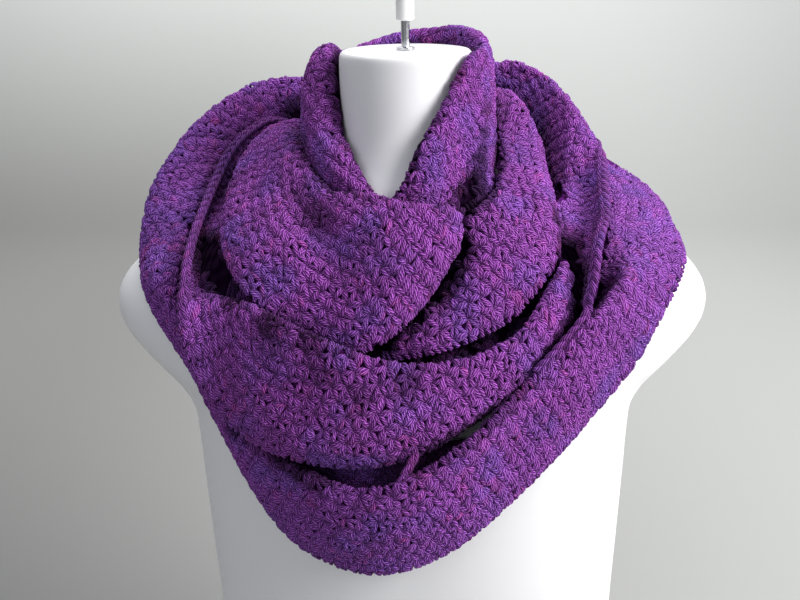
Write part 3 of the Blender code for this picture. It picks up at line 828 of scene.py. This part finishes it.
def off_the_form(grid):
    """Moves a grid's points straight out until they clear the form's skin."""
    for _ in range(3):
        turn = np.arctan2(grid[..., 0], -grid[..., 1])
        height = grid[..., 2]
        slope = form_slope(turn, height)
        length = np.hypot(1, slope)
        gap = (np.hypot(grid[..., 0], grid[..., 1]) - form_radius(turn, height)) / length
        short = np.where(height > 0, 0, np.maximum(FORM_CLEARANCE - gap, 0)) / length
        grid = grid + about_axis(turn, short, -short * slope)
    return grid


def shade_folds(clothes, rings):
    """Works out how far each place lies open to the air, for the painted shade that keeps yarn in a deep
    fold dark.
    """
    corners, faces, base = [], [], 0
    for grid, closed in [(cloth.grid, cloth.closed) for cloth in clothes] + [(rings[::3], True)]:
        corners.append(grid.reshape(-1, 3))
        faces.append(grid_quads(grid.shape[0], grid.shape[1], closed) + base)
        base += len(corners[-1])
    tree = BVHTree.FromPolygons(np.concatenate(corners).tolist(), np.concatenate(faces).tolist())
    k = np.arange(FOLD_RAYS) + 0.5
    rise = np.sqrt(1 - 0.92 * k / FOLD_RAYS)  # no ray lies quite flat on the cloth
    swing = k * GOLDEN_TURN
    flat = np.sqrt(1 - rise ** 2)
    rays = np.stack([flat * np.cos(swing), flat * np.sin(swing), rise], axis=-1)
    for cloth in clothes:
        cloth.openness = {side: open_share(tree, cloth, side, rays) for side in (1, -1)}


def open_share(tree, cloth, side, rays):
    """The open share of the sky over each grid point, every second row cast, then evened out."""
    normals = cloth.normals * side
    first = unit(np.cross(normals, (0.31, 0.17, 0.93)))
    second = np.cross(normals, first)
    starts = cloth.grid + normals * RAY_LIFT
    share = np.zeros(cloth.grid.shape[:2])
    for i in range(0, share.shape[0], 2):
        for j in range(share.shape[1]):
            total = 0.0
            for ray in (rays @ np.array([first[i, j], second[i, j], normals[i, j]])).tolist():
                distance = tree.ray_cast(starts[i, j].tolist(), ray, FOLD_REACH)[3]
                total += 1.0 if distance is None else distance / FOLD_REACH
            share[i, j] = total / len(rays)
    share[1::2] = (share[:-1:2] + share[2::2]) / 2
    share = even_out(even_out(share, cloth.closed), cloth.closed)
    # painted shade: the listed places darken the open share further, or lighten it where their dark is
    # below 0
    for painted_shade in named_rows(PAINTED_SHADE_COLUMNS, PAINTED_SHADES):
        middle = on_axis(painted_shade["turn"], painted_shade["radius"], painted_shade["height"])
        away = np.linalg.norm(cloth.grid - middle, axis=-1) / painted_shade["reach"]
        share = share * (1 - painted_shade["dark"] * np.exp(-away ** 4))
    return share


def even_out(field, closed):
    """A grid field with each value averaged with its neighbours."""
    padded = np.pad(field, ((1, 1), (0, 0)), mode="edge")
    field = (padded[:-2] + 2 * padded[1:-1] + padded[2:]) / 4
    padded = np.pad(field, ((0, 0), (1, 1)), mode="wrap" if closed else "edge")
    return (padded[:, :-2] + 2 * padded[:, 1:-1] + padded[:, 2:]) / 4


def fold_light(share):
    """The painted lightness that goes with an open share: full on a round, next to none in a deep fold."""
    return DARKEST + 1.04 * np.clip((share - FOLD_SHUT) / FOLD_OPEN, 0, 1) ** 1.8


def ground_shell(name, points, quads, stitches, light, thickness, offset, finish):
    """A thin closed wall of ground, inward from its points (-1) or to both sides of them (0)."""
    shell = quad_mesh(name, points.reshape(-1, 3), quads, finish)
    add_uv(shell, "stitch", stitches)
    add_dye_and_shade(shell, dye_and_shade(0, 0, light))
    wall = shell.modifiers.new("shell", "SOLIDIFY")
    wall.thickness = thickness * MM
    wall.offset = offset
    return shell


def build_shell(name, cloth, pitch, row, finish):
    """The ground of a stretch, with its stitch lattice as UV."""
    rows, columns = cloth.grid.shape[:2]
    outer = (cloth.grid + cloth.normals * SHELL_OUT).reshape(-1, 3)
    quads = grid_quads(rows, columns, cloth.closed)
    a, b, d = (outer[quads[0, k]] for k in (0, 1, 3))
    if np.dot(np.cross(b - a, d - a), cloth.normals[0, 0]) < 0:
        quads = quads[:, ::-1]
    along = np.broadcast_to(cloth.row_length(BELLY_ROW)[:columns] / pitch, (rows, columns))
    stitches = np.stack([along, cloth.from_hem / row], axis=-1)
    return ground_shell(name, outer, quads, stitches, fold_light(cloth.openness[1]), SHELL, -1.0, finish)


def build_inner_turn(finish):
    """The inner turn's ground on the form, under all the stretches."""
    turns = np.arange(-180, 180, INNER_STEP)
    top, edge = (np.interp(turns, *np.array(line, float).T) for line in (INNER_TOP, INNER_EDGE))
    lean = np.linspace(0, 1, 15)[:, None]
    height = top * (1 - lean) + edge * lean
    angle = np.broadcast_to(np.radians(turns) + math.radians(WRAP_TURN), height.shape)
    slope = form_slope(angle, height)
    lift = INNER_LIFT / np.hypot(1, slope)
    points = about_axis(angle, form_radius(angle, height) + lift, height - lift * slope)
    quads = grid_quads(len(lean), len(turns), True)
    stitches = np.stack([angle * 12, lean * 9 + 0 * angle], axis=-1)
    light = np.full(height.size, INNER_LIGHT)
    return ground_shell("inner_turn", points, quads, stitches, light, INNER_SHELL, 0.0, finish)


# ---- yarn


def patches(points, size, seed):
    """Smooth random patches in space: 0 to 1 at each point, the patches about size mm wide."""
    knots = np.random.default_rng(seed).random((32, 32, 32))
    cell = np.floor(points / size).astype(int)
    s = points / size - cell
    s = s * s * (3 - 2 * s)
    value = np.zeros(len(points))
    for corner in np.ndindex(2, 2, 2):
        weight = np.prod(np.where(np.array(corner) > 0, s, 1 - s), axis=-1)
        value += weight * knots[tuple(((cell + corner) % 32).T)]
    return value


def dye_and_shade_of(middles, lights):
    """The dye and painted shade of each strand: fuchsia flecks, blue-violet clouds, and its painted fold
    shade with a random light or dark turn.
    """
    fleck = np.clip((patches(middles, FLECK_SIZE, 11) - 0.66) * 3.2, 0, 0.75)
    fuchsia = fleck * np.clip(patches(middles, FLECK_CLUSTER, 12) * 2.4 - 0.55, 0.12, 1)
    stray = RNG.random(len(middles)) < STRAY_SHARE
    fuchsia = np.where(stray, np.maximum(fuchsia, 0.55), fuchsia)
    blue = np.clip((patches(middles, CLOUD_SIZE, 13) - 0.48) * 2.0, 0, 0.8)
    outermost = np.maximum(np.abs(middles[:, 0]) - BLUE_SIDE, -middles[:, 2] - BLUE_LOW)
    blue = np.clip(blue + 0.4 * np.clip(outermost / BLUE_REACH, 0, 1), 0, 0.85) * (1 - fuchsia)
    light = lights * (0.72 + 0.26 * patches(middles, SHADE_SIZE, 14) + 0.42 * RNG.random(len(middles)))
    return dye_and_shade(fuchsia, blue, light)


def strands(name, paths, outs, radii, lights, finish, arch=YARN_ARCH):
    """Joined strands of yarn. paths and outs are (strand, station, xyz), radii (strand, station).

    Each station carries an arch of points round the strand's outer side, from -arch to +arch.
    """
    count, stations = paths.shape[:2]
    tangent = unit(np.gradient(paths, axis=1))
    side = unit(np.cross(tangent, outs))
    up = unit(np.cross(side, tangent))
    angles = np.linspace(-arch, arch, YARN_RING)
    rise = np.cos(angles)[:, None]
    ring = side[:, :, None] * np.sin(angles)[:, None] + up[:, :, None] * rise * YARN_FLATNESS
    points = paths[:, :, None] + ring * radii[:, :, None, None]
    base = np.arange(count)[:, None, None] * stations * YARN_RING
    quads = grid_quads(stations, YARN_RING, False) + base
    yarn = quad_mesh(name, points.reshape(-1, 3), quads.reshape(-1, 4), finish)
    uv = np.zeros((count, stations, YARN_RING, 2))
    uv[..., 0] = angles * radii.mean()
    uv[..., 1] = (length_along(paths) + RNG.random((count, 1)) * PLY_PITCH * 3)[:, :, None]
    add_uv(yarn, "yarn", uv)
    # painted shade: each strand darkens towards its ends, where it dives into a hole, and towards its sides
    shade = np.ones((stations, YARN_RING, 4))
    dive = np.sin(math.pi * (0.13 + 0.74 * np.linspace(0, 1, stations))) ** 0.8
    edge = 0.62 + 0.38 * np.cos(angles / arch * math.pi / 2)
    shade[..., 2] = np.outer(dive, edge)
    add_dye_and_shade(yarn, dye_and_shade_of(paths[:, stations // 2], lights)[:, None, None] * shade)
    return yarn


def lattice(cloth, pitch, row, rows_kept):
    """The crochet's holes: column and row places of every node, and whether the cloth has it."""
    count = int(round(cloth.row_length(BELLY_ROW)[-1] / pitch))
    total = min(int(cloth.from_hem[0].max() / row) + 1, rows_kept)
    u = np.zeros((total, count))
    v = np.zeros((total, count))
    there = np.zeros((total, count), bool)
    for k in range(total):
        stray = scatter(HOLE_SCATTER / pitch, count)
        u[k] = cloth.columns_along(BELLY_ROW, (np.arange(count) + 0.5 * (k % 2) + stray) / count)
        distance = (k + 0.35) * row + scatter(HOLE_SCATTER, count)
        v[k], there[k] = cloth.rows_at(u[k], np.maximum(distance, 0.5))
    return u, v, there


def lattice_links(u, v, there, closed, columns):
    """Every bar (0) and leg (1, 2) of the lattice as its two ends: u, v, u, v and its kind."""
    total, count = u.shape
    k, i = np.nonzero(there)
    kind = np.broadcast_to((0, 1, 2), (len(k), 3))
    k2 = k[:, None] + (0, 1, 1)
    turns, i2 = np.divmod(np.stack([i + 1, i + k % 2, i + k % 2 - 1], axis=-1), count)
    kept = (k2 < total) & (closed | (turns == 0))
    k2 = np.minimum(k2, total - 1)
    kept &= there[k2, i2]
    from_u, from_v = (np.broadcast_to(field[k, i][:, None], kept.shape) for field in (u, v))
    return np.stack([from_u, from_v, u[k2, i2] + turns * columns, v[k2, i2], kind], axis=-1)[kept]


def stitch_strands(cloth, pitch, row, side, rows_kept):
    """Paths of the yarn on one face: each link is a pair of strands that bow apart or cross over."""
    u, v, there = lattice(cloth, pitch, row, rows_kept)
    ends = lattice_links(u, v, there, cloth.closed, cloth.grid.shape[1])
    t = np.linspace(0, 1, YARN_STATIONS)
    swell = np.sin(math.pi * t) ** 0.75
    path_u = ends[:, 0:1] * (1 - t) + ends[:, 2:3] * t
    path_v = ends[:, 1:2] * (1 - t) + ends[:, 3:4] * t
    light = cloth.light(side, path_u[:, 2], path_v[:, 2])
    seen = light > TOO_DARK
    bar, path_u, path_v, light = ends[seen, 4] == 0, path_u[seen], path_v[seen], light[seen]
    middle, normals = cloth.at(path_u, path_v)
    normals = normals * side
    onward = unit(np.gradient(middle, axis=1))
    across = unit(np.cross(onward, normals))
    count = len(light)
    crossed = RNG.random(count) < CROSSED_SHARE
    parts = []
    for hand in (-1.0, 1.0) if side > 0 else (0.0,):
        spread = PAIR_SPREAD * (1 + scatter(0.25, count)) * hand
        bowed = np.outer(spread, np.sin(math.pi * t) ** 0.7)
        over = np.outer(spread, np.cos(math.pi * t))
        sway = np.where(crossed[:, None], over, bowed)
        sway = sway + np.outer(scatter(0.4, count), 1 - 2 * t) + scatter(STRAND_SCATTER, (count, 1))
        slip = scatter(STRAND_SCATTER, (count, 1))
        high = STITCH_HIGH + scatter(STRAND_SCATTER, count) + CROSSED_RISE * hand * crossed
        high = high - np.where(bar, 0.25, 0.0)
        rise = STITCH_LOW + (high[:, None] - STITCH_LOW) * swell
        points = middle + normals * rise[..., None] + across * sway[..., None] + onward * slip[..., None]
        size = YARN_RADIUS * (1 + scatter(0.09, count)) * (1 if hand else INNER_SIZE)
        parts.append((points, normals, size[:, None] * (0.70 + 0.34 * swell), light))
    return [np.concatenate(field) for field in zip(*parts)]


def hem_strands(cloth, pitch, row):
    """Short strands that wrap the hem, from the outermost row on one face to that on the other."""
    length = cloth.row_length(HEM_ROW)
    count = int(length[-1] / pitch * HEM_CROWDING)
    u = cloth.columns_along(HEM_ROW, (np.arange(count) + 0.5 + scatter(0.2, count)) / count)
    u = np.minimum(u, len(length) - 1.001)
    hem, normal = cloth.at_row(u, HEM_ROW)
    onward = unit(hem - cloth.at_row(u, HEM_ROW - 1.5)[0])
    lean = unit(np.cross(onward, normal)) * (1.6 * np.sign(RNG.random(count) - 0.5))[:, None]
    high, high_normal = cloth.at(u, cloth.rows_at(u, np.full(count, 0.55 * row))[0])
    stops = np.array([
        high + high_normal * 0.9 - lean,
        hem + normal * 1.5 - onward * 0.2 - lean * 0.4,
        hem + onward * 1.1,
        hem - normal * 1.5 - onward * 0.2 + lean * 0.4,
        high - high_normal * 0.9 + lean,
    ])
    before, after = unit(normal + onward * 0.5), unit(onward * 0.5 - normal)
    outs = np.array([high_normal, before, onward, after, -high_normal])
    paths = curve_of(stops, YARN_STATIONS).transpose(1, 0, 2)
    outs = unit(curve_of(outs, YARN_STATIONS)).transpose(1, 0, 2)
    radii = np.full((count, YARN_STATIONS), YARN_RADIUS) * (1 + scatter(0.08, (count, 1)))
    return paths, outs, radii, cloth.light(1, u, np.full(count, HEM_ROW - 1.0))


def build_stitches(name, cloth, pitch, row, rows_in, finish):
    """All the yarn of one stretch, in pieces small enough to share the scene's limits."""
    faces = [stitch_strands(cloth, pitch, row, 1, 99), hem_strands(cloth, pitch, row)]
    if rows_in:
        faces.append(stitch_strands(cloth, pitch, row, -1, rows_in + 1))
    points, normals, radii, lights = (np.concatenate(parts) for parts in zip(*faces))
    per_strand = (YARN_STATIONS - 1) * (YARN_RING - 1) * 2
    pieces = math.ceil(len(points) * per_strand / PIECE_TRIANGLES)
    return [strands("stitches_%s_%d" % (name, k + 1), points[chosen], normals[chosen], radii[chosen],
                    lights[chosen], finish)
            for k, chosen in enumerate(np.array_split(np.arange(len(points)), pieces))]


def chain_strands(name, line, out, half_width, size, light, finish):
    """Two interlocked rows of slanting yarn along a line: the plait of a chain-stitched edge."""
    length = length_along(line)
    out = unit(out)
    lateral = unit(np.cross(unit(np.gradient(line, axis=0)), out))
    t = np.linspace(0, 1, YARN_STATIONS)
    spread = half_width * (-0.3 + 1.25 * np.sin(math.pi / 2 * t))
    rise = 1.3 * np.sin(math.pi * (0.12 + 0.82 * t)) - 0.7
    paths, outs = [], []
    for k in range(int(length[-1] / CHAIN_LINK)):
        for hand in (-1, 1):
            place = np.clip((k + t * CHAIN_LAP + 0.1 + 0.25 * (hand > 0)) * CHAIN_LINK, 0, length[-1])
            centre, up, side = (np.stack([np.interp(place, length, field[:, c]) for c in range(3)], axis=-1)
                                for field in (line, out, lateral))
            paths.append(centre + side * (hand * spread)[:, None] + up * rise[:, None])
            outs.append(unit(up + side * hand * 0.45))
    radii = np.tile(size * (0.62 + 0.42 * np.sin(math.pi * t) ** 0.7), (len(paths), 1))
    lights = np.full(len(paths), light)
    return strands(name, np.array(paths), np.array(outs), radii, lights, finish, EDGE_ARCH)


def build_chain(chain, cloth, finish):
    """A chain-stitched edge along a fold line of a stretch."""
    u = np.linspace(chain["section"], chain["to_section"], 160) * GRID_ALONG
    row = FOLDS.index(chain["fold"]) * GRID_ACROSS
    line, normal = cloth.at_row(u, row)
    if chain["fold"] == "hem":
        out = unit(normal * 0.75 + unit(line - cloth.at_row(u, row - 1.5)[0]) * 0.65)
    else:
        out = unit(normal * (1, 1, 0) * 0.3 + (0, 0, 1))
    line = line + out * chain["out"]
    if chain["name"] == "shoulder":
        tail = curve_of(on_axis(*np.array(CHAIN_TAIL, float).T), 30)
        line = np.concatenate([line, tail])
        out = np.concatenate([out, unit(tail * (1, 1, 0)) * 0.8 + (0, 0, 0.6)])
    light = max(np.median(cloth.light(1, u, np.full(len(u), row - 1.0))), CHAIN_LIGHT)
    name = "edge_" + chain["name"]
    return chain_strands(name, line, out, chain["half_width"], chain["size"], light, finish)


def build_bridge(finish):
    """The twist of yarn across the mouth of the front pocket."""
    line = curve_of(on_axis(*np.array(BRIDGE, float).T), 24)
    out = np.broadcast_to(BRIDGE_OUT, line.shape)
    return chain_strands("bridge", line, out, BRIDGE_HALF_WIDTH, BRIDGE_SIZE, BRIDGE_LIGHT, finish)


# ---- stage, in metres but for the camera's place

CAMERA_LENS = 1011 / 800 * 36  # mm on a 36 mm sensor: 1011 pixels on a picture 800 wide
CAMERA_SHIFT = -10 / 800
CAMERA_PITCH = 20.0  # degrees down
CAMERA_ROLL = 1.0
CAMERA_BACK = 717.0  # from the neck's axis
CAMERA_UP = 76.8  # over the neck's top

SWEEP_HALF_WIDTH = 7.0
SWEEP_FRONT = -5.0
SWEEP_BACK = 2.6
SWEEP_BEND = 0.9
SWEEP_TOP = 4.2
# painted shade: the floor darkens from right to left; its two tones are that painted shade
FLOOR_LEFT_SHADED = (0.17, 0.17, 0.167, 1)
FLOOR_RIGHT_LIT = (0.36, 0.365, 0.36, 1)
FLOOR_BLEND = 0.7  # the floor's two tones meet within this of the middle
WALL_COLOUR = (0.635, 0.655, 0.645, 1)
SKY_COLOUR = (0.93, 0.95, 1.0, 1)
SKY_STRENGTH = 0.30
LIGHT_COLUMNS = ("name", "place", "aim", "power", "size", "colour")
LIGHTS = (
    ("key", (1.62, -0.62, 1.25), (0, 0, 0.45), 56, 1.0, (1.0, 0.985, 0.97)),
    ("fill", (-1.1, -1.6, 1.3), (0, 0, 0.45), 8, 1.6, (0.93, 0.96, 1.0)),
    ("top", (-0.05, 0.60, 2.0), (0, 0, 0.45), 18, 1.3, (1.0, 1.0, 1.0)),
    ("wall", (-0.45, 0.9, 2.2), (-0.45, 2.6, 1.1), 70, 1.3, (1.0, 1.0, 0.99)),
)


def build_camera():
    """The photographer's place: in front, a little above the neck, looking down."""
    data = bpy.data.cameras.new("camera")
    data.sensor_width = 36
    data.lens = CAMERA_LENS
    data.shift_x = CAMERA_SHIFT
    data.clip_start = 0.01
    camera = link("camera", data)
    place = Vector((0, -CAMERA_BACK, CAMERA_UP + NECK_TOP)) * MM
    turn = Matrix.Rotation(math.radians(WRAP_TURN), 4, "Z")
    pitch = Matrix.Rotation(math.radians(90 - CAMERA_PITCH), 4, "X")
    roll = Matrix.Rotation(-math.radians(CAMERA_ROLL), 4, "Z")
    camera.matrix_world = turn @ Matrix.Translation(place) @ pitch @ roll
    bpy.context.scene.camera = camera


def stage_material():
    """Plain paper with painted shade: a darker floor, lighter to the right, that turns into a pale wall."""
    n = Nodes("floor")
    place = n.new("ShaderNodeSeparateXYZ", {0: n.new("ShaderNodeTexCoord").outputs["Object"]}).outputs
    blend = {0: place[0], 1: -FLOOR_BLEND, 2: FLOOR_BLEND}
    rightness = n.new("ShaderNodeMapRange", blend, interpolation_type="SMOOTHSTEP").outputs[0]
    paper = n.mix(rightness, FLOOR_LEFT_SHADED, FLOOR_RIGHT_LIT)
    paper = n.mix(n.math("MULTIPLY", n.noise(0.8, 1.0), 0.06), paper, WALL_COLOUR)
    paper = n.mix(n.math("SMOOTH_MIN", place[2], 1.0, 0.3), paper, WALL_COLOUR)
    return n.finish(Base_Color=paper, Roughness=0.9, Specular_IOR_Level=0.1)


def build_floor():
    """A floor that sweeps up into a wall."""
    bend = np.radians(np.linspace(0, 90, 19))
    ys = np.concatenate([[SWEEP_FRONT], SWEEP_BACK - SWEEP_BEND + SWEEP_BEND * np.sin(bend), [SWEEP_BACK]])
    zs = np.concatenate([[0], SWEEP_BEND - SWEEP_BEND * np.cos(bend), [SWEEP_TOP]])
    line = np.stack([0 * ys, ys, zs], axis=-1)
    rings = np.stack([line - (SWEEP_HALF_WIDTH, 0, 0), line + (SWEEP_HALF_WIDTH, 0, 0)], axis=1)
    quads = grid_quads(len(line), 2, False)[:, ::-1]
    points = rings.reshape(-1, 3) / MM - (0, 0, NECK_TOP)
    quad_mesh("floor", points, quads, stage_material())


def build_lights():
    """Soft studio light, stronger from the right."""
    for light in named_rows(LIGHT_COLUMNS, LIGHTS):
        data = bpy.data.lights.new(light["name"], "AREA")
        data.energy, data.size, data.color = light["power"], light["size"], light["colour"]
        lamp = link(light["name"], data)
        lamp.location = light["place"]
        way = Vector(light["aim"]) - Vector(light["place"])
        lamp.rotation_euler = way.to_track_quat("-Z", "Y").to_euler()
        lamp.visible_camera = False
    world = bpy.data.worlds.new("studio")
    bpy.context.scene.world = world
    world.use_nodes = True
    sky = world.node_tree.nodes["Background"]
    sky.inputs["Color"].default_value = SKY_COLOUR
    sky.inputs["Strength"].default_value = SKY_STRENGTH
    bpy.context.scene.view_settings.view_transform = "Standard"


# ---- assembly


def build_scarf(rings):
    """Every stretch with its shell, stitches and edges, as a draped sheet."""
    yarn = yarn_material()
    ground = ground_material()
    stretches = named_rows(STRETCH_COLUMNS, STRETCHES)
    clothes = [Cloth(stretch) for stretch in stretches]
    shade_folds(clothes, rings)
    for stretch, cloth in zip(stretches, clothes):
        name, pitch, row = stretch["name"], stretch["pitch"], stretch["row"]
        shell = build_shell(name, cloth, pitch, row, ground)
        pieces = build_stitches(name, cloth, pitch, row, stretch["rows_in"], yarn)
        for chain in named_rows(CHAIN_COLUMNS, CHAINS):
            if chain["name"] == name:
                pieces.append(build_chain(chain, cloth, yarn))
        if name == "drape":
            pieces += [build_bridge(yarn), build_inner_turn(ground)]
        for piece in [shell] + pieces:
            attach(piece, "root")
        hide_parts("scarf_" + name)


build_camera()
build_floor()
build_lights()
FORM_RINGS = form_rings()
build_form(FORM_RINGS)
dress_hook()
build_scarf(FORM_RINGS)
